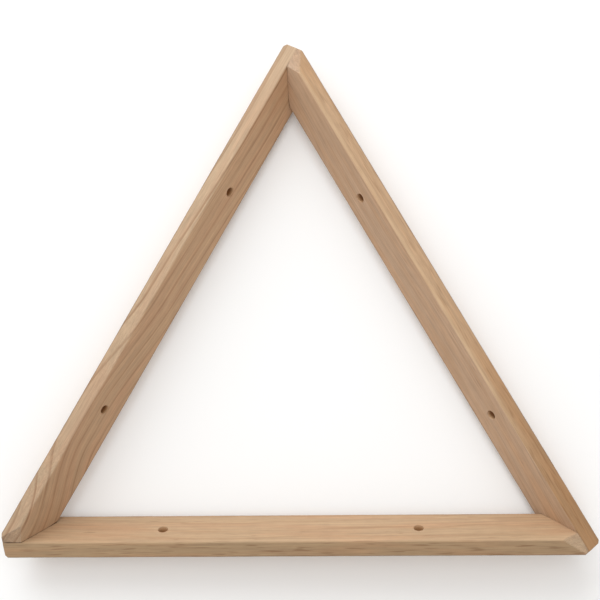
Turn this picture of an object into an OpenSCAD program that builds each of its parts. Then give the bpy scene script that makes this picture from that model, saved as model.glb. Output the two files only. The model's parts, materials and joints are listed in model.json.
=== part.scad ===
// Triangle rack for fifteen billiard balls: three like wooden rails, each leaning
// outwards, that chase each other round the triangle. Every rail starts at a corner,
// climbs slightly along its length and ends against the wide face of the next rail,
// where it is trimmed flush with that rail's narrow face, glued and pinned. The three
// corners are trimmed by hand, so each has its own trim.
// The rack lies with its wide side up. Its origin is under the middle of its outline, on
// the surface that it lies on, +Y points to the apex and +Z up.

/* [Balls] */
// Diameter of one ball
ball_d = 57.15; // [52:0.05:60]
// Free play added to the side of the triangle that the balls fill
play = 0.4; // [0:0.1:3]

/* [Rails] */
// Width of the rail's wide face
rail_w = 31.5; // [28:0.5:36]
// Thickness of the rail, which is its narrow face
rail_t = 12.5; // [11:0.5:15]
// Lean of the wide face's normal away from the vertical, in degrees
lean = 60; // [54:0.5:63]
// Climb of each rail towards its jointed end, in degrees
climb = 1.1; // [0.8:0.1:1.4]
// Radius of the eased long edges
arris_r = 1; // [0.6:0.1:1.6]

/* [Corners] */
// Distance of the left corner's trim from the middle of the bottom rail
left_trim = 198; // [196:0.5:202]
// Turn of the left corner's trim away from square to the bottom rail, in degrees
left_turn = 3; // [-5:0.5:6]
// Distance of the right corner's trim from the middle of the right rail
right_trim = 200; // [196:0.5:202]
// Turn of the right corner's trim away from square to the right rail, in degrees
right_turn = 4.5; // [-5:0.5:6]
// Distance of the apex's trim from the middle of the left rail
apex_trim = 200.5; // [196:0.5:202]
// Turn of the apex's trim away from square to the left rail, in degrees
apex_turn = -2.5; // [-5:0.5:6]
// Width of the bevel that takes off the tip of a trimmed corner
tip_bevel = 2; // [1:0.1:3]

/* [Holes] */
// Diameter of the blind holes in the wide faces
hole_d = 6.6; // [5:0.1:8]
// Depth of the blind holes
hole_depth = 6; // [3:0.5:8]
// Distance between the two holes of a rail
hole_gap = 174; // [150:1:190]
// Shift of the hole pair towards the rail's free end
hole_shift = 4; // [0:0.5:8]
// Distance of the hole centres from the ridge between wide and narrow face
hole_from_ridge = 15; // [13:0.5:18]

/* [Pins] */
// Diameter of the panel pins in the corners
pin_d = 1.6; // [1.2:0.1:2]
// Length of the panel pins
pin_len = 30; // [26:1:32]
// Diameter of the pin heads
pin_head_d = 3; // [2.4:0.1:3.6]
// Thickness of the pin heads
pin_head_t = 0.8; // [0.6:0.1:1.2]
// Distance of the pins nearer the ridge from it
outer_pin_from_ridge = 8; // [7:0.5:10]
// Distance of the pins farther from the ridge
inner_pin_from_ridge = 18; // [15:0.5:20]

/* [Hidden] */
$fn = 48;

// Places of the rails around the triangle, counted anticlockwise from above
BOTTOM = 0;
RIGHT = 1;
LEFT = 2;
SIDES = 3;
TURN = 360 / SIDES;
TIP_TURN = 45;
// Choice of pin in a corner
OUTER = 0;
INNER = 1;

// Distances of the outer and the inner pin of a corner from the ridge
pin_from_ridge = [outer_pin_from_ridge, inner_pin_from_ridge];

// Colours of the three rails and of the pins
BOTTOM_TONE = [0.80, 0.66, 0.51];
RIGHT_TONE = [0.73, 0.59, 0.47];
LEFT_TONE = [0.78, 0.63, 0.50];
PIN_TONE = [0.62, 0.62, 0.64];

// Radius of the inside triangle's inscribed circle: five touching balls along each side
inner_r = (4 * ball_d + sqrt(3) * ball_d + play) / (2 * sqrt(3));
// The ridge stands this far from the middle, seen from above
ridge_r = inner_r + (rail_w - arris_r) * cos(lean) - arris_r * sin(lean) + arris_r;

// Distance from the middle of the rack to its outline along a side, seen from above
outline_r = ridge_r + (rail_t - arris_r) * sin(lean) - arris_r * cos(lean) + arris_r;

// Trims of the corners at which the bottom, right and left rail start. A trim turns
// about a point halfway between the ridge and the outline of the rail that starts there.
trim_x = [-left_trim, -right_trim, -apex_trim];
trim_turn = [left_turn, right_turn, apex_turn];
trim_y = -(ridge_r + outline_r) / 2;
// Bevelled tip of a trimmed corner: its end on the outline and its end on the trim
function tip_on_outline(place) = [trim_x[place] + tip_bevel, -outline_r, 0];
function tip_on_trim(place) =
    let (y = (tip_bevel - outline_r - trim_y * tan(trim_turn[place])) / (1 - tan(trim_turn[place])))
    [trim_x[place] + tip_bevel - outline_r - y, y, 0];
// Where the left corner's trim cuts the outline of the left rail, which ends there
left_end_y = (outline_r + (trim_x[BOTTOM] + trim_y * tan(left_turn)) * sin(TURN))
    / (-cos(TURN) + tan(left_turn) * sin(TURN));
left_end_x = trim_x[BOTTOM] - (left_end_y - trim_y) * tan(left_turn);
outline_left = min(left_end_x, tip_on_trim(BOTTOM)[0]);
// Middle of the outline from side to side and from front to back, seen from the
// middle of the triangle
outline_mid = [
    (outline_left + turned(tip_on_outline(RIGHT), TURN)[0]) / 2,
    (turned(tip_on_trim(LEFT), 2 * TURN)[1] - outline_r) / 2,
    0
];

// A rail blank reaches well past both of its corners before it is cut
blank_half = 240;
// Size of the blocks that cut the blanks
cut_size = 160;
cut_past = 60;
// Cut reaching past a face, so that no skin is left
past = 1;

// Directions of a rail as seen in its own place: along it, across its wide face, out of it
function turned(v, a) = [v[0] * cos(a) - v[1] * sin(a), v[0] * sin(a) + v[1] * cos(a), v[2]];
function tilted(v) = [v[0] * cos(climb) - v[2] * sin(climb), v[1],
                      v[0] * sin(climb) + v[2] * cos(climb)];
along = tilted([1, 0, 0]);
across = tilted([0, cos(lean), -sin(lean)]);
outward = tilted([0, sin(lean), cos(lean)]);
ridge_side = [0, -ridge_r, 0];
// The rail before this one, whose jointed end butts on this one's wide face
before_outward = turned(outward, -TURN);
before_side = turned(ridge_side, -TURN);
// Place along this rail, at y from the ridge and z out of the wide face, that lies at
// this depth under the wide face of the rail before
function meets_before(y, z, depth) =
    (-depth - before_outward * (ridge_side - before_side + y * across + z * outward))
    / (before_outward * along);

// The lowest point is on the back edge of a rail, at its free end
low_y = rail_w - arris_r + arris_r * sin(lean);
low_z = arris_r - rail_t - arris_r * cos(lean);
low_x = meets_before(low_y, low_z, rail_t);
ridge_z = -(low_x * along + low_y * across + low_z * outward)[2];
ridge_foot = ridge_side + [0, 0, ridge_z];

// Place of a pin along the rail that runs through: the middle of the butting end
function pin_x(which) = meets_before(pin_from_ridge[which], 0, rail_t / 2);

// Turns its children round the middle of the triangle to this place, in the rack's frame
module at_place(place)
    translate(-outline_mid)
        rotate([0, 0, TURN * place])
            children();

// Puts its children in a rail's own axes: X along the rail, Y from the ridge across
// the wide face, Z out of the wide face, origin on the ridge
module on_rail(place)
    at_place(place)
        translate(ridge_foot)
            rotate([0, -climb, 0])
                rotate([-lean, 0, 0])
                    children();

// Section of a rail with its four eased edges
module rail_section() {
    translate([arris_r, -rail_t]) square([rail_w - 2 * arris_r, rail_t]);
    translate([0, arris_r - rail_t]) square([rail_w, rail_t - 2 * arris_r]);
    for (y = [arris_r, rail_w - arris_r])
        for (z = [-arris_r, arris_r - rail_t])
            translate([y, z]) circle(r = arris_r);
}

// Straight blank of a rail in the rail's own axes
module rail_blank()
    translate([-blank_half, 0, 0])
        rotate([90, 0, 90])
            linear_extrude(height = 2 * blank_half)
                rail_section();

// Room beyond the wide face and beyond the narrow face of the rail at this place
module beyond_faces(place)
    on_rail(place) {
        translate([-blank_half, -cut_past, -cut_size])
            cube([cut_size, cut_size + cut_past, cut_size]);
        translate([-blank_half, -cut_size, -cut_size / 2])
            cube([cut_size, cut_size, cut_size]);
    }

// Room behind the back of the rail at this place, past its middle
module beyond_back(place)
    on_rail(place)
        translate([0, -cut_size / 2, -rail_t - cut_size])
            cube([blank_half + cut_size, cut_size, cut_size]);

// Block with one face through the origin, square to the X axis, turned about Z
module trim_block(turn)
    rotate([0, 0, turn])
        translate([-cut_size, -cut_size, -cut_size])
            cube([cut_size, 2 * cut_size, 2 * cut_size]);

// Room outside the corner at which the rail at this place starts, and past its tip
module beyond_corner(place)
    at_place(place) {
        translate([trim_x[place], trim_y, 0]) trim_block(trim_turn[place]);
        translate(tip_on_outline(place)) trim_block(TIP_TURN);
    }

// The two blind holes of a rail
module holes(place)
    on_rail(place)
        for (x = [-hole_gap / 2 - hole_shift, hole_gap / 2 - hole_shift])
            translate([x, hole_from_ridge, -hole_depth])
                cylinder(h = hole_depth + past, d = hole_d);

// Panel pin driven through the back of the rail that runs through, into the butting end
module pin(place, which)
    on_rail(place)
        translate([pin_x(which), pin_from_ridge[which], -rail_t]) {
            cylinder(h = pin_head_t, d = pin_head_d);
            cylinder(h = pin_len - pin_d, d = pin_d);
            translate([0, 0, pin_len - pin_d]) cylinder(h = pin_d, d1 = pin_d, d2 = pin_d / 4);
        }

// One rail: cut to butt on the next rail and level with the back of the one before,
// trimmed at both corners, drilled and pinned
module rail(place) {
    next_place = (place + 1) % SIDES;
    place_before = (place + SIDES - 1) % SIDES;
    difference() {
        on_rail(place) rail_blank();
        beyond_faces(next_place);
        beyond_back(place_before);
        beyond_corner(next_place);
        beyond_corner(place);
        holes(place);
        for (corner = [place, next_place])
            for (which = [OUTER, INNER])
                pin(corner, which);
    }
}

module bottom_rail() color(BOTTOM_TONE) rail(BOTTOM);
module right_rail() color(RIGHT_TONE) rail(RIGHT);
module left_rail() color(LEFT_TONE) rail(LEFT);
module right_corner_outer_pin() color(PIN_TONE) pin(RIGHT, OUTER);
module right_corner_inner_pin() color(PIN_TONE) pin(RIGHT, INNER);
module apex_outer_pin() color(PIN_TONE) pin(LEFT, OUTER);
module apex_inner_pin() color(PIN_TONE) pin(LEFT, INNER);
module left_corner_outer_pin() color(PIN_TONE) pin(BOTTOM, OUTER);
module left_corner_inner_pin() color(PIN_TONE) pin(BOTTOM, INNER);

bottom_rail();
right_rail();
left_rail();
right_corner_outer_pin();
right_corner_inner_pin();
apex_outer_pin();
apex_inner_pin();
left_corner_outer_pin();
left_corner_inner_pin();
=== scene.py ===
"""Triangle rack for pool balls: three bare pine rails that butt in a pinwheel at the corners.

The rails are eased meshes made from the CAD solids, with a solid pine material that has one
trunk of growth rings per rail, so that its faces, edges and cut ends agree.
"""

import json
import math

import bmesh
import bpy
from mathutils import Euler, Matrix, Vector, noise

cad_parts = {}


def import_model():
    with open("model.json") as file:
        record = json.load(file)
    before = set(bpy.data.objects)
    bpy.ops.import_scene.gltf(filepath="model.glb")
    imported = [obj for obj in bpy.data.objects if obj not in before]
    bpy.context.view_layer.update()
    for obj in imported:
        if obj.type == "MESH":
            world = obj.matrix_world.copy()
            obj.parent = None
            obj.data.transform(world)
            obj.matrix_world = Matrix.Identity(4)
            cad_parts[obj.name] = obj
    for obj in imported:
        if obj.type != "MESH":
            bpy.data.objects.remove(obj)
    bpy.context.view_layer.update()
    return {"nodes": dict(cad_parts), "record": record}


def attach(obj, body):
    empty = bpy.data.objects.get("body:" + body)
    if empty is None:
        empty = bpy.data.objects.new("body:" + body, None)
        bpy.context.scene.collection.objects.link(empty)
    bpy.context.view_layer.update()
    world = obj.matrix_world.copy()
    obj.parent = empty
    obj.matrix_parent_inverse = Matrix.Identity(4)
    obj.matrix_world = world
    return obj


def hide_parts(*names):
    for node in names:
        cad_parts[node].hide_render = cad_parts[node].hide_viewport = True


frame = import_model()

MM = 0.001
RAILS = ("bottom_rail", "right_rail", "left_rail")
PINS = (
    "right_corner_outer_pin", "right_corner_inner_pin",
    "apex_outer_pin", "apex_inner_pin",
    "left_corner_outer_pin", "left_corner_inner_pin",
)

# Camera, above the rack and a little towards the bottom rail
CAMERA_PLACE = Vector((33.7, -82.9, 875.8)) * MM
CAMERA_TURN = Euler([math.radians(a) for a in (5.332, 2.169, -0.624)])
CAMERA_LENS = 74.42

# Section of a rail, in millimetres
RAIL_WIDTH = 31.5
RAIL_THICKNESS = 12.5
HOLE_FROM_RIDGE = 15.0
HOLE_RADIUS = 3.3
HOLE_DEPTH = 6.0
HALF_HOLE_GAP = 87.0


# ---------------------------------------------------------------- frame

def mount(name):
    """Place and outward direction of one of the record's mounts, in metres."""
    found = [m for m in frame["record"]["mounts"] if m["name"] == name][0]
    return Vector(found["pos_m"]), Vector(found["axis"]).normalized()


def rail_axes(rail):
    """Matrix of a rail's own axes: X along it, Y from the ridge across the wide face,
    Z out of the wide face, origin on the ridge midway between the two holes."""
    start, out = mount(rail + "_hole_start")
    end, _ = mount(rail + "_hole_end")
    along = (end - start).normalized()
    across = out.cross(along)
    origin = (start + end) / 2 + (out * HOLE_DEPTH / 2 - across * HOLE_FROM_RIDGE) * MM
    axes = Matrix((along, across, out)).transposed().to_4x4()
    axes.translation = origin
    return axes


def neighbour_plane(rail, step, column, sign):
    """Plane of a face of the next (step 1) or previous (step -1) rail, in a rail's own
    axes: its direction, and its distance in millimetres."""
    to_own = rail_axes(rail).inverted()
    face = rail_axes(RAILS[(RAILS.index(rail) + step) % len(RAILS)])
    direction = (to_own.to_3x3() @ face.col[column].to_3d()).normalized() * sign
    return direction, direction.dot(to_own @ face.translation) / MM


def butt_plane(rail):
    """Wide face that a rail's end is glued to."""
    return neighbour_plane(rail, 1, 2, 1)


def flush_plane(rail):
    """Narrow face that a rail's end is trimmed flush with."""
    return neighbour_plane(rail, 1, 1, -1)


def covered_from(rail):
    """Place along a rail's ridge where the end of the rail before it begins to cover it."""
    direction, distance = neighbour_plane(rail, -1, 2, 1)
    return distance / direction.x


# ---------------------------------------------------------------- rail mesh

# Radius of the cut edges, and the spacing of the cuts along a rail
EASE = 0.4
SLICE = 4.0
# Points closer than this are one point; a face nearer than FLUSH to the back is flush with it
WELD = 0.002
FLUSH = 0.02
# How far the cutter of a flush pin head runs on past the back
HEAD_OVERRUN = 1.0
# Directions closer than FLAT are one plane, and edges sharper than ROUND_OVER are rounded
FLAT = math.radians(1.0)
ROUND_OVER = math.radians(12)
SHARP_EDGE = math.radians(38)
ROUND_SHARES = (0.25, 0.5, 0.75)
# Rubbing of the long edges: deepest cut, and the swings of the slow and the quick waves
EDGE_WEAR = 0.16
WEAR_BASE = 0.45
WEAR_SLOW = 0.6
WEAR_QUICK = 0.5
# Reach of the square ridge around the ridge line, and the length over which it fades out
RIDGE_REACH = 1.05
RIDGE_SHARE = 0.6
RIDGE_SLOPE = 1.2
SQUARE_FADE = 5.0
# A drilled hole: steps around it, chamfer at its foot, and its torn mouth
DRILL_STEPS = 48
FOOT_CHAMFER = 0.25
MOUTH_FLARE = 0.32
MOUTH_TEAR = 0.35
WEAR_SEED = {"bottom_rail": 11.3, "right_rail": 47.9, "left_rail": 83.1}


def hull(points):
    """Convex hull of points, with its flat faces joined up."""
    bm = bmesh.new()
    for point in points:
        bm.verts.new(point)
    bmesh.ops.remove_doubles(bm, verts=bm.verts, dist=WELD)
    made = bmesh.ops.convex_hull(bm, input=bm.verts)
    spare = set(made["geom_interior"]) | set(made["geom_unused"])
    spare = [v for v in spare if isinstance(v, bmesh.types.BMVert)]
    bmesh.ops.delete(bm, geom=spare, context="VERTS")
    bmesh.ops.dissolve_limit(bm, angle_limit=FLAT, verts=bm.verts, edges=bm.edges)
    bm.normal_update()
    return bm


def planes_of(points):
    """Flat faces of the solid that points span: directions and distances."""
    bm = hull(points)
    planes = []
    for face in sorted(bm.faces, key=lambda f: -f.calc_area()):
        direction = face.normal.copy()
        if all(direction.angle(other) > FLAT for other, _ in planes):
            planes.append((direction, max(direction.dot(v.co) for v in bm.verts)))
    bm.free()
    return planes


def inset_corners(planes, inset):
    """Corners of the solid between the planes moved in by inset, each with the
    directions of the planes that meet there."""
    bm = bmesh.new()
    bmesh.ops.create_cube(bm, size=1000.0)
    for direction, distance in planes:
        cut = bmesh.ops.bisect_plane(
            bm, geom=bm.verts[:] + bm.edges[:] + bm.faces[:], dist=1e-4,
            plane_co=direction * (distance - inset), plane_no=direction, clear_outer=True)
        rim = [e for e in cut["geom_cut"] if isinstance(e, bmesh.types.BMEdge)]
        if rim:
            bmesh.ops.contextual_create(bm, geom=rim)
    corners = []
    for vert in bm.verts:
        met = [d for d, distance in planes if abs(d.dot(vert.co) - distance + inset) < 0.004]
        corners.append((vert.co.copy(), met))
    bm.free()
    return corners


def rounded(corners, radius, sharp):
    """Points of balls at the corners, in the directions of the flat faces there and
    between them. The edge between the two faces named by sharp stays sharp."""
    points = []
    for corner, directions in corners:
        if all(min(d.angle(s) for d in directions) < FLAT for s in sharp):
            points.append(corner + (sharp[0] + sharp[1]) * radius / (1 + sharp[0].dot(sharp[1])))
        for direction in directions:
            points.append(corner + direction * radius)
        for one in range(len(directions)):
            for two in range(one):
                first, second = directions[one], directions[two]
                if first.angle(second) > ROUND_OVER:
                    for share in ROUND_SHARES:
                        between = first.slerp(second, share)
                        points.append(corner + between * radius)
        if len(directions) > 2:
            middle = sum(directions, Vector()).normalized()
            points.append(corner + middle * radius)
    return points


def wear(bm, rail):
    """Rubs the long edges back a little, unevenly along them."""
    seed = WEAR_SEED[rail]
    for vert in bm.verts:
        normal = vert.normal
        tilt = min(abs(normal.y), abs(normal.z))
        if tilt < 0.2 or abs(normal.x) > 0.5:
            continue
        side = Vector((0, math.copysign(9, normal.y), math.copysign(5, normal.z)))
        slow = noise.noise(Vector((vert.co.x * 0.035, seed, 0)) + side)
        quick = noise.noise(Vector((vert.co.x * 0.16, 0, seed)) + side)
        depth = max(0.0, WEAR_BASE + WEAR_SLOW * slow + WEAR_QUICK * quick)
        vert.co -= normal * EDGE_WEAR * depth * min(1.0, tilt / 0.6)


def square_ridge(bm, rail):
    """Makes the ridge square where the end of the rail before is trimmed flush with it."""
    start = covered_from(rail)
    moved = []
    for vert in bm.verts:
        x, y, z = vert.co
        if y > RIDGE_REACH or z < -RIDGE_REACH or x > start + SQUARE_FADE:
            continue
        share = min(1.0, (start + SQUARE_FADE - x) / SQUARE_FADE)
        moved.append(vert)
        if y < RIDGE_SHARE * RIDGE_REACH and abs(y) <= abs(z) * RIDGE_SLOPE:
            vert.co.y -= y * share
        if z > -RIDGE_SHARE * RIDGE_REACH and abs(z) <= abs(y) * RIDGE_SLOPE:
            vert.co.z -= z * share
    bmesh.ops.remove_doubles(bm, verts=moved, dist=WELD)
    loose = [edge for edge in bm.edges if not edge.link_faces]
    bmesh.ops.delete(bm, geom=loose, context="EDGES")


def drill(x, name):
    """Cutter for a drilled hole at x along a rail, with a slightly torn mouth."""
    # Height, radius and share of the tearing, from the foot to well above the mouth
    levels = (
        (-HOLE_DEPTH, HOLE_RADIUS - FOOT_CHAMFER, 0.0),
        (-HOLE_DEPTH + FOOT_CHAMFER, HOLE_RADIUS, 0.0),
        (-0.45, HOLE_RADIUS, 0.0),
        (-0.12, HOLE_RADIUS + 0.10, 0.3),
        (0.15, HOLE_RADIUS + MOUTH_FLARE, 1.0),
        (2.0, HOLE_RADIUS + MOUTH_FLARE, 1.0),
    )
    bm = bmesh.new()
    rings = []
    for z, radius, torn in levels:
        ring = []
        for step in range(DRILL_STEPS):
            turn = 2 * math.pi * step / DRILL_STEPS
            fray = noise.noise(Vector((2.2 * math.cos(turn) + x, 2.2 * math.sin(turn), 7.0)))
            reach = radius + torn * MOUTH_TEAR * max(0.0, fray) * (0.4 + abs(math.cos(turn)))
            ring.append(bm.verts.new((x + reach * math.cos(turn),
                                      HOLE_FROM_RIDGE + reach * math.sin(turn), z)))
        rings.append(ring)
    for low, high in zip(rings, rings[1:]):
        for step in range(DRILL_STEPS):
            after = (step + 1) % DRILL_STEPS
            bm.faces.new((low[step], low[after], high[after], high[step]))
    bm.faces.new(list(reversed(rings[0])))
    bm.faces.new(rings[-1])
    return as_object(bm, name)


def as_object(bm, name):
    """New object from a bmesh in millimetres."""
    bmesh.ops.scale(bm, vec=(MM, MM, MM), verts=bm.verts)
    mesh = bpy.data.meshes.new(name)
    bm.to_mesh(mesh)
    bm.free()
    made = bpy.data.objects.new(name, mesh)
    bpy.context.scene.collection.objects.link(made)
    return made


def pin_cutter(pin, to_own):
    """Closed copy of a pin, in a rail's own axes. A head that is flush with the rail's
    back runs on past it, so that the cut has no face in the plane of the back."""
    bm = bmesh.new()
    bm.from_mesh(frame["nodes"][pin].data)
    bm.transform(to_own)
    bmesh.ops.scale(bm, vec=(1 / MM, 1 / MM, 1 / MM), verts=bm.verts)
    bmesh.ops.remove_doubles(bm, verts=bm.verts, dist=WELD)
    bmesh.ops.recalc_face_normals(bm, faces=bm.faces)
    for vert in bm.verts:
        if abs(vert.co.z + RAIL_THICKNESS) < FLUSH:
            vert.co.z -= HEAD_OVERRUN
    return as_object(bm, pin + "_cutter")


def rail_piece(rail, material):
    """A rail with rounded cut edges, rubbed long edges, drilled holes and pin holes."""
    axes = rail_axes(rail)
    to_own = axes.inverted()
    points = [(to_own @ v.co) / MM for v in frame["nodes"][rail].data.vertices]
    sharp = (-butt_plane(rail)[0], flush_plane(rail)[0])
    bm = hull(rounded(inset_corners(planes_of(points), EASE), EASE, sharp))
    low = min(v.co.x for v in bm.verts)
    high = max(v.co.x for v in bm.verts)
    for step in range(1, int((high - low) / SLICE)):
        bmesh.ops.bisect_plane(
            bm, geom=bm.verts[:] + bm.edges[:] + bm.faces[:], dist=1e-3,
            plane_co=(low + step * SLICE, 0, 0), plane_no=(1, 0, 0))
    bm.normal_update()
    wear(bm, rail)
    square_ridge(bm, rail)
    piece = as_object(bm, rail + "_wood")
    cutters = [drill(-HALF_HOLE_GAP, "drill_start"), drill(HALF_HOLE_GAP, "drill_end")]
    cutters += [pin_cutter(pin, to_own) for pin in PINS if touches(pin, rail)]
    for cutter in cutters:
        cut = piece.modifiers.new(cutter.name, "BOOLEAN")
        cut.operation = "DIFFERENCE"
        cut.solver = "EXACT"
        cut.object = cutter
    shaped = piece.evaluated_get(bpy.context.evaluated_depsgraph_get())
    mesh = bpy.data.meshes.new_from_object(shaped)
    piece.modifiers.clear()
    mesh.transform(axes)
    piece.data = mesh
    for cutter in cutters:
        bpy.data.objects.remove(cutter)
    mesh.materials.clear()
    mesh.materials.append(material)
    mesh.shade_smooth()
    mesh.set_sharp_from_angle(angle=SHARP_EDGE)
    weights = piece.modifiers.new("flat_faces", "WEIGHTED_NORMAL")
    weights.weight = 100
    weights.keep_sharp = True
    return piece


def touches(pin, rail):
    """Whether a pin goes into a rail: it sits in the corners at the rail's two ends."""
    corners = {"bottom_rail": ("left_corner", "right_corner"),
               "right_rail": ("right_corner", "apex"),
               "left_rail": ("apex", "left_corner")}
    return pin.startswith(corners[rail])


# ---------------------------------------------------------------- node helpers

class Graph:
    """Short calls for wiring a material's nodes."""

    def __init__(self, name):
        self.material = bpy.data.materials.new(name)
        self.material.use_nodes = True
        self.tree = self.material.node_tree
        self.tree.nodes.clear()

    def node(self, kind, **settings):
        made = self.tree.nodes.new(kind)
        for key, value in settings.items():
            setattr(made, key, value)
        return made

    def put(self, socket, value):
        if isinstance(value, bpy.types.NodeSocket):
            self.tree.links.new(value, socket)
        else:
            socket.default_value = value

    def math(self, operation, a, b=0.0, c=0.0, clamp=False):
        made = self.node("ShaderNodeMath", operation=operation, use_clamp=clamp)
        for socket, value in zip(made.inputs, (a, b, c)):
            self.put(socket, value)
        return made.outputs[0]

    def ramp(self, value, low, high, to_low=0.0, to_high=1.0, smooth=True):
        kind = "SMOOTHSTEP" if smooth else "LINEAR"
        made = self.node("ShaderNodeMapRange", interpolation_type=kind)
        for key, item in (("Value", value), ("From Min", low), ("From Max", high),
                          ("To Min", to_low), ("To Max", to_high)):
            self.put(made.inputs[key], item)
        return made.outputs["Result"]

    def scaled(self, vector, factors, shift=(0, 0, 0)):
        made = self.node("ShaderNodeMapping", vector_type="POINT")
        self.put(made.inputs["Vector"], vector)
        made.inputs["Scale"].default_value = factors
        made.inputs["Location"].default_value = shift
        return made.outputs[0]

    def noise(self, vector, seed, scale=1.0, detail=2.0, rough=0.5, distort=0.0):
        made = self.node("ShaderNodeTexNoise", noise_dimensions="4D")
        self.put(made.inputs["Vector"], vector)
        for key, value in (("W", seed), ("Scale", scale), ("Detail", detail),
                           ("Roughness", rough), ("Distortion", distort)):
            made.inputs[key].default_value = value
        return made.outputs["Fac"]

    def mix(self, factor, a, b, blend="MIX"):
        made = self.node("ShaderNodeMix", data_type="RGBA", blend_type=blend, clamp_factor=True)
        self.put(made.inputs["Factor"], factor)
        for socket, value in ((made.inputs[6], a), (made.inputs[7], b)):
            if not isinstance(value, bpy.types.NodeSocket):
                value = (*value, 1.0)
            self.put(socket, value)
        return made.outputs[2]

    def dot(self, vector, direction):
        made = self.node("ShaderNodeVectorMath", operation="DOT_PRODUCT")
        self.put(made.inputs[0], vector)
        made.inputs[1].default_value = direction
        return made.outputs["Value"]

    def shade(self, colour, factor):
        grey = self.node("ShaderNodeCombineColor")
        for socket in grey.inputs[:3]:
            self.put(socket, factor)
        return self.mix(1.0, colour, grey.outputs[0], "MULTIPLY")


# ---------------------------------------------------------------- pine

# One look per rail. Lengths are in millimetres in the rail's own axes. The pith lies at
# pith (across, out). A bend (from, to, rise) moves the rings across the rail by rise
# between two places along it. Tones are linear colours.
# The pale ridge band is partly rubbed wood and partly a painted highlight, the joint line is partly glue
# and partly painted shade, and the hole tone is painted shade deep in the holes.
PINE_LOOKS = {
    "bottom_rail": dict(
        seed=3.1, pith=(-30.0, -110.0), ring=3.1, phase=0.2, wander=5.0,
        bends=((-190, -20, 2.0), (10, 190, -2.5)), line=0.28, thin_line=0.5,
        wood=(0.448, 0.300, 0.179), blush=(0.482, 0.273, 0.154), blush_amount=0.5,
        late=(0.330, 0.165, 0.070), run=(1.0, 1.0), dashes=0.8, lenses=0.8,
        narrow=((0.900, 0.905, 0.870), (0.865, 0.870, 0.830)),
        pale_narrow=0.0, pale_wide=0.12, glue_shade_strength=0.30, glue_shade_depth=-1.5,
        hole=(0.430, 0.240, 0.110)),
    "right_rail": dict(
        seed=7.7, pith=(-58.0, -70.0), ring=6.2, phase=0.1, wander=4.5,
        bends=((-180, -60, 4.0), (-20, 60, -3.0), (90, 190, 5.0)), line=0.26, thin_line=0.35,
        wood=(0.488, 0.325, 0.211), blush=(0.500, 0.290, 0.155), blush_amount=0.45,
        late=(0.345, 0.190, 0.090), run=(0.99, 1.02), dashes=0.5, lenses=0.5,
        narrow=((0.700, 0.590, 0.430), (0.950, 0.925, 0.845)),
        pale_narrow=0.55, pale_wide=0.0, glue_shade_strength=0.55, glue_shade_depth=-1.5,
        hole=(0.330, 0.150, 0.050)),
    "left_rail": dict(
        seed=12.9, pith=(-63.0, -64.3), ring=7.3, phase=0.423, wander=1.2,
        bends=((-150, 40, 9.0), (0, 90, 11.5), (112, 185, -22.0)), line=0.75, thin_line=0.25,
        wood=(0.480, 0.308, 0.182), blush=(0.490, 0.268, 0.152), blush_amount=0.4,
        late=(0.280, 0.140, 0.064), run=(1.10, 0.92), dashes=0.35, lenses=0.15,
        narrow=((0.895, 0.980, 1.060), (0.920, 0.995, 1.070)),
        pale_narrow=0.0, pale_wide=0.0, glue_shade_strength=0.90, glue_shade_depth=-7.0,
        hole=(0.330, 0.150, 0.050)),
}
EARLY_START = 0.70
LATE_PEAK = 0.93
THIN_RINGS = 4.3
NARROW_FADE = (0.15, 0.9)
# Joint line colour: partly glue, partly painted shade in the gap
JOINT_GLUE_AND_SHADE_TONE = (0.085, 0.045, 0.020)
DASH_TONE = (0.200, 0.095, 0.040)
# Pale ridge band colour: partly rubbed wood, partly a painted highlight
RIDGE_RUB_AND_SHEEN_TONE = (0.620, 0.440, 0.275)
# Painted shade along the outer, inner and back long edges
EDGE_SHADE_TONE = (0.200, 0.130, 0.080)
# Painted light at the mouth of the holes
HOLE_MOUTH_PAINTED_LIGHT = (0.640, 0.420, 0.240)


def ring_radius(g, look, x, y, z, mm):
    """Distance from the pith at each point, and the point with the bends taken out."""
    shift = 0.0
    for start, end, rise in look["bends"]:
        shift = g.math("ADD", shift, g.ramp(x, start, end, 0.0, rise))
    bent = g.math("ADD", y, shift)
    wander = g.noise(g.scaled(mm, (0.007, 0.03, 0.03)), look["seed"], detail=2.0)
    ripple = g.noise(g.scaled(mm, (0.03, 0.10, 0.10)), look["seed"] + 5, detail=3.0)
    off_y = g.math("SUBTRACT", bent, look["pith"][0])
    off_z = g.math("SUBTRACT", z, look["pith"][1])
    squared = g.math("MULTIPLY_ADD", off_y, off_y, g.math("MULTIPLY", off_z, off_z))
    radius = g.math("SQRT", squared)
    radius = g.math("MULTIPLY_ADD", g.math("SUBTRACT", wander, 0.5), look["wander"] * 2, radius)
    radius = g.math("MULTIPLY_ADD", g.math("SUBTRACT", ripple, 0.5), 1.1, radius)
    straight = g.node("ShaderNodeCombineXYZ")
    for socket, value in zip(straight.inputs, (x, bent, z)):
        g.put(socket, value)
    return radius, straight.outputs[0]


def growth_line(g, radius, ring, phase, seed):
    """Dark late wood of each growth ring, some rings stronger than others."""
    turns = g.math("MULTIPLY_ADD", radius, 1.0 / ring, phase)
    part = g.math("FRACT", turns)
    line = g.math("MULTIPLY", g.ramp(part, EARLY_START, LATE_PEAK),
                  g.ramp(part, LATE_PEAK, 1.0, 1.0, 0.0))
    pick = g.node("ShaderNodeTexWhiteNoise", noise_dimensions="1D")
    g.put(pick.inputs["W"], g.math("ADD", g.math("FLOOR", turns), seed))
    return g.math("MULTIPLY", line, g.ramp(pick.outputs["Value"], 0.0, 1.0, 0.7, 1.0, smooth=False))


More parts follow.
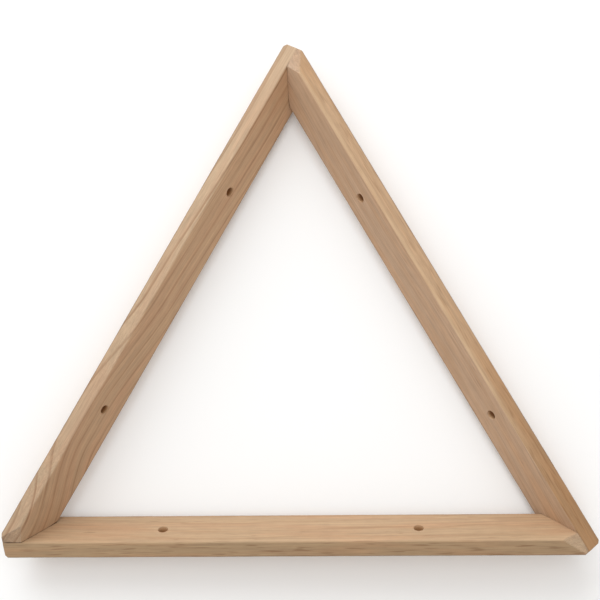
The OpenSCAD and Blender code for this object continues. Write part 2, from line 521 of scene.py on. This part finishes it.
def own_coordinates(g, axes):
    """Place in millimetres in a rail's own axes, and the surface's normal."""
    coordinates = g.node("ShaderNodeTexCoord")
    own = g.node("ShaderNodeMapping", vector_type="TEXTURE")
    g.put(own.inputs["Vector"], coordinates.outputs["Object"])
    own.inputs["Location"].default_value = axes.translation
    own.inputs["Rotation"].default_value = axes.to_euler()
    own.inputs["Scale"].default_value = (MM, MM, MM)
    return own.outputs[0], coordinates.outputs["Normal"]


def flecks(g, look, y, mm, straight):
    """Resin flecks: short dark dashes, and lens-shaped ones on the narrow face."""
    seed = look["seed"]
    dash = g.noise(g.scaled(straight, (0.07, 0.85, 0.85)), seed + 51, detail=1.0)
    dash = g.ramp(dash, 0.62, 0.74)
    place = g.ramp(g.noise(g.scaled(mm, (0.016, 0.09, 0.09)), seed + 61), 0.40, 0.60)
    dash = g.math("MULTIPLY", g.math("MULTIPLY", dash, place), look["dashes"])
    lens = g.noise(g.scaled(mm, (0.06, 0.75, 0.75)), seed + 55, detail=0.5)
    on_narrow = g.ramp(y, *NARROW_FADE, look["lenses"], 0.0)
    lens = g.math("MULTIPLY", g.ramp(lens, 0.58, 0.70), on_narrow)
    return g.math("MAXIMUM", dash, lens)


def ridge_rub_sheen_and_edge_shade(g, look, wood, x, y, z, mm):
    """Pale band by the ridge, partly rubbed wood and partly a painted highlight, and painted shade along
    the other long edges.
    """
    from_wide = g.math("MULTIPLY", z, -1.0)
    from_back = g.math("ADD", z, RAIL_THICKNESS)
    from_inner = g.math("SUBTRACT", RAIL_WIDTH, y)
    patches = g.noise(g.scaled(mm, (0.05, 0.3, 0.3)), look["seed"] + 81, detail=3.0)
    patches = g.ramp(patches, 0.3, 0.65, 0.5, 1.0)
    narrow_side = g.math("MULTIPLY", g.ramp(from_wide, 1.0, 4.0, 1.0, 0.0), g.ramp(y, 0.5, 1.2, 1.0, 0.0))
    narrow_side = g.math("MULTIPLY", narrow_side, g.ramp(x, -150, -60))
    wide_side = g.math("MULTIPLY", g.ramp(y, 1.6, 3.4, 1.0, 0.0), g.ramp(from_wide, 0.5, 1.2, 1.0, 0.0))
    pale = g.math("ADD", g.math("MULTIPLY", narrow_side, look["pale_narrow"]),
                  g.math("MULTIPLY", wide_side, look["pale_wide"]))
    # Pale band by the ridge: partly rubbed wood, partly a painted highlight
    wood = g.mix(g.math("MULTIPLY", pale, patches), wood, RIDGE_RUB_AND_SHEEN_TONE)
    outer = g.math("MAXIMUM", y, from_back)
    inner = g.math("MAXIMUM", from_inner, from_wide)
    back_inner = g.math("MAXIMUM", from_inner, from_back)
    nearest = g.math("MINIMUM", g.math("MINIMUM", outer, inner), back_inner)
    # Painted shade along the outer, inner and back long edges
    darkening = g.ramp(nearest, 0.6, 1.7, 0.75, 0.0)
    return g.mix(g.math("MULTIPLY", darkening, patches), wood, EDGE_SHADE_TONE)


def joint_glue_and_gap_shade(g, rail, look, wood, mottle, y, z, mm):
    """Dark line where the end meets the next rail, partly glue and partly painted shade in the gap,
    widest by the ridge and the inner edge.
    """
    direction, distance = butt_plane(rail)
    from_butt = g.math("SUBTRACT", g.dot(mm, direction), distance)
    # The line is widest by the ridge and by the inner edge, where the painted shade fills the gap
    reach = g.ramp(y, 2.0, 16.0, 1.0, 0.45)
    reach = g.math("ADD", reach, g.ramp(y, 25.0, 30.5, 0.0, 1.3))
    reach = g.math("MULTIPLY", reach, g.ramp(mottle, 0.35, 0.65, 0.8, 1.3))
    gap_shade_and_glue = g.ramp(g.math("DIVIDE", from_butt, reach), 0.35, 1.0, 1.0, 0.0)
    gap_shade_and_glue = g.math("MULTIPLY", gap_shade_and_glue, g.ramp(z, look["glue_shade_depth"] - 2.0, look["glue_shade_depth"]))
    return g.mix(g.math("MULTIPLY", gap_shade_and_glue, look["glue_shade_strength"]), wood, JOINT_GLUE_AND_SHADE_TONE)


def hole_painted_light_and_shade(g, look, wood, x, y, z):
    """Painted light and shade inside the blind holes: a light warm colour at the mouth, and painted shade
    in orange-brown further down.
    """
    along = g.math("SUBTRACT", g.math("ABSOLUTE", x), HALF_HOLE_GAP)
    across = g.math("SUBTRACT", y, HOLE_FROM_RIDGE)
    squared = g.math("MULTIPLY_ADD", along, along, g.math("MULTIPLY", across, across))
    inside = g.ramp(g.math("SQRT", squared), HOLE_RADIUS + 0.05, HOLE_RADIUS + 0.3, 1.0, 0.0)
    inside = g.math("MULTIPLY", inside, g.ramp(z, -0.5, -0.1, 0.85, 0.0))
    inside = g.math("MULTIPLY", inside, g.ramp(z, -HOLE_DEPTH - 0.6, -HOLE_DEPTH - 0.1))
    # Painted light near the mouth, painted shade further down
    return g.mix(inside, wood, g.mix(g.ramp(z, -3.6, -0.5), look["hole"], HOLE_MOUTH_PAINTED_LIGHT))


def relief(g, ring, fibre, dash, pores):
    """Bump from raised late wood, fibres, fleck grooves and pores."""
    height = g.math("MULTIPLY_ADD", ring, 0.4, g.math("MULTIPLY", fibre, 0.9))
    height = g.math("MULTIPLY_ADD", dash, -0.8, height)
    height = g.math("MULTIPLY_ADD", pores, 0.35, height)
    bump = g.node("ShaderNodeBump")
    bump.inputs["Strength"].default_value = 0.4
    bump.inputs["Distance"].default_value = 0.08 * MM
    g.put(bump.inputs["Height"], height)
    return bump.outputs[0]


def pine(rail, look):
    """Bare planed pine with one trunk of growth rings, fibres, flecks and worn edges, with painted
    highlight and shade at the ridge, edges, joints and holes.
    """
    g = Graph(rail + "_pine")
    seed = look["seed"]
    axes = rail_axes(rail)
    mm, normal = own_coordinates(g, axes)
    parts = g.node("ShaderNodeSeparateXYZ")
    g.put(parts.inputs[0], mm)
    x, y, z = parts.outputs
    facing = g.dot(normal, axes.col[0].to_3d())
    end_grain = g.ramp(g.math("ABSOLUTE", facing), 0.15, 0.42)
    radius, straight = ring_radius(g, look, x, y, z, mm)

    # Broad rings, and thin ones between them
    strength = g.noise(g.scaled(mm, (0.014, 0.05, 0.05)), seed + 11, detail=2.0)
    strength = g.ramp(strength, 0.30, 0.62, 0.45, 1.0)
    ring = g.math("MULTIPLY", growth_line(g, radius, look["ring"], look["phase"], seed), strength)
    thin_place = g.noise(g.scaled(straight, (0.016, 0.09, 0.09)), seed + 15, detail=2.0)
    thin_place = g.ramp(thin_place, 0.42, 0.62)
    thin = growth_line(g, radius, look["ring"] / THIN_RINGS, 0.3, seed + 40)
    thin = g.math("MULTIPLY", thin, thin_place)

    # Fibres: fine streaks along the grain, which turn to pores on a cut end
    fibre = g.noise(g.scaled(straight, (0.05, 2.2, 2.2)), seed + 21, detail=4.0, rough=0.65)
    streak = g.noise(g.scaled(straight, (0.013, 0.60, 0.60)), seed + 31, detail=4.0, rough=0.6)
    pores = g.noise(g.scaled(mm, (1.6, 2.6, 2.6)), seed + 41, detail=2.0)
    mottle = g.noise(g.scaled(mm, (0.10, 0.22, 0.22)), seed + 45, detail=5.0, rough=0.65)
    dash = flecks(g, look, y, mm, straight)

    # Wood between the rings, with pinkish drifts
    blush = g.noise(g.scaled(straight, (0.012, 0.13, 0.13)), seed + 71, detail=3.0)
    blush = g.math("MULTIPLY", g.ramp(blush, 0.42, 0.66), look["blush_amount"])
    wood = g.mix(blush, look["wood"], look["blush"])
    wood = g.mix(g.math("MULTIPLY", ring, look["line"]), wood, look["late"])
    wood = g.mix(g.math("MULTIPLY", thin, look["line"] * look["thin_line"]), wood, look["late"])
    tone = g.math("MULTIPLY", g.ramp(streak, 0.28, 0.72, 0.86, 1.13, smooth=False),
                  g.ramp(fibre, 0.25, 0.75, 0.83, 1.16, smooth=False))
    tone = g.math("MULTIPLY", tone, g.ramp(mottle, 0.3, 0.7, 0.95, 1.05, smooth=False))
    tone = g.math("MULTIPLY", tone, g.ramp(x, -190, 190, *look["run"], smooth=False))
    wood = g.shade(wood, tone)
    wood = g.mix(g.math("MULTIPLY", dash, 0.60), wood, DASH_TONE)

    # The narrow face gets its own colour factor per rail, which changes along the rail
    narrow = g.ramp(y, *NARROW_FADE, 1.0, 0.0)
    narrow_tone = g.mix(g.ramp(x, -190, 10), *look["narrow"])
    wood = g.mix(narrow, wood, g.mix(1.0, wood, narrow_tone, "MULTIPLY"))

    # Cut ends are mottled by open pores
    mottled = g.mix(g.ramp(pores, 0.35, 0.65), (1.02, 1.07, 1.14), (0.82, 0.85, 0.90))
    wood = g.mix(end_grain, wood, g.mix(1.0, wood, mottled, "MULTIPLY"))

    # Pale ridge partly rubbed and partly a painted highlight; painted shade on the long edges, in the
    # joint line with the glue, and in the holes with painted light at their mouths
    wood = ridge_rub_sheen_and_edge_shade(g, look, wood, x, y, z, mm)
    wood = joint_glue_and_gap_shade(g, rail, look, wood, mottle, y, z, mm)
    wood = hole_painted_light_and_shade(g, look, wood, x, y, z)

    surface = g.node("ShaderNodeBsdfPrincipled")
    g.put(surface.inputs["Base Color"], wood)
    g.put(surface.inputs["Roughness"], g.ramp(fibre, 0.3, 0.7, 0.58, 0.72, smooth=False))
    surface.inputs["Specular IOR Level"].default_value = 0.30
    g.put(surface.inputs["Normal"], relief(g, ring, fibre, dash, pores))
    output = g.node("ShaderNodeOutputMaterial")
    g.put(output.inputs[0], surface.outputs[0])
    return g.material


def pin_steel():
    """Drawn steel wire, a little dull, with darker patches and fine streaks in its roughness."""
    g = Graph("pin_steel_look")
    coordinates = g.node("ShaderNodeTexCoord")
    mm = g.scaled(coordinates.outputs["Object"], (1000, 1000, 1000))
    darkening = g.noise(mm, 2.0, scale=1.2, detail=3.0)
    scratch = g.noise(g.scaled(mm, (9, 9, 2)), 5.0, detail=3.0)
    surface = g.node("ShaderNodeBsdfPrincipled")
    g.put(surface.inputs["Base Color"],
          g.mix(g.ramp(darkening, 0.35, 0.7), (0.42, 0.42, 0.43), (0.24, 0.22, 0.20)))
    surface.inputs["Metallic"].default_value = 1.0
    g.put(surface.inputs["Roughness"], g.ramp(scratch, 0.3, 0.7, 0.30, 0.50))
    output = g.node("ShaderNodeOutputMaterial")
    g.put(output.inputs[0], surface.outputs[0])
    return g.material


# ---------------------------------------------------------------- stage

def floor():
    """Plain pale floor under the rack."""
    g = Graph("floor_look")
    coordinates = g.node("ShaderNodeTexCoord")
    mottle = g.noise(coordinates.outputs["Object"], 1.0, scale=3.0, detail=3.0)
    surface = g.node("ShaderNodeBsdfPrincipled")
    g.put(surface.inputs["Base Color"], g.mix(mottle, (0.90, 0.90, 0.90), (0.92, 0.92, 0.92)))
    surface.inputs["Roughness"].default_value = 0.9
    surface.inputs["Specular IOR Level"].default_value = 0.1
    output = g.node("ShaderNodeOutputMaterial")
    g.put(output.inputs[0], surface.outputs[0])
    bm = bmesh.new()
    bmesh.ops.create_circle(bm, cap_ends=True, radius=6.0, segments=96)
    mesh = bpy.data.meshes.new("floor")
    bm.to_mesh(mesh)
    bm.free()
    mesh.materials.append(g.material)
    piece = bpy.data.objects.new("floor", mesh)
    bpy.context.scene.collection.objects.link(piece)


def softbox(name, place, aim, size, power, colour):
    """Square area light at place, facing aim."""
    lamp = bpy.data.lights.new(name, "AREA")
    lamp.shape = "SQUARE"
    lamp.size = size
    lamp.energy = power
    lamp.color = colour
    made = bpy.data.objects.new(name, lamp)
    made.location = place
    made.rotation_euler = (Vector(aim) - Vector(place)).to_track_quat("-Z", "Y").to_euler()
    bpy.context.scene.collection.objects.link(made)


def world():
    """Even pale surroundings."""
    made = bpy.data.worlds.new("studio")
    made.use_nodes = True
    background = made.node_tree.nodes["Background"]
    background.inputs["Color"].default_value = (1.0, 0.985, 0.965, 1.0)
    background.inputs["Strength"].default_value = 0.72
    bpy.context.scene.world = made


def camera():
    """Camera at the photograph's angle."""
    data = bpy.data.cameras.new("camera")
    data.lens = CAMERA_LENS
    data.clip_start = 0.01
    made = bpy.data.objects.new("camera", data)
    made.location = CAMERA_PLACE
    made.rotation_euler = CAMERA_TURN
    bpy.context.scene.collection.objects.link(made)
    bpy.context.scene.camera = made


# ---------------------------------------------------------------- build

camera()
world()
floor()
softbox("key", (-0.55, 1.75, 1.15), (0, 0, 0), 2.0, 34.0, (0.93, 0.97, 1.0))
softbox("top", (0.1, 0.2, 2.2), (0, 0, 0), 1.6, 10.0, (1.0, 0.99, 0.98))
bpy.context.scene.view_settings.view_transform = "Standard"

for rail in RAILS:
    wood_piece = rail_piece(rail, pine(rail, PINE_LOOKS[rail]))
    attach(wood_piece, "root")
    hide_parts(rail)

steel = pin_steel()
for pin in PINS:
    pin_mesh = frame["nodes"][pin].data
    pin_mesh.materials.clear()
    pin_mesh.materials.append(steel)
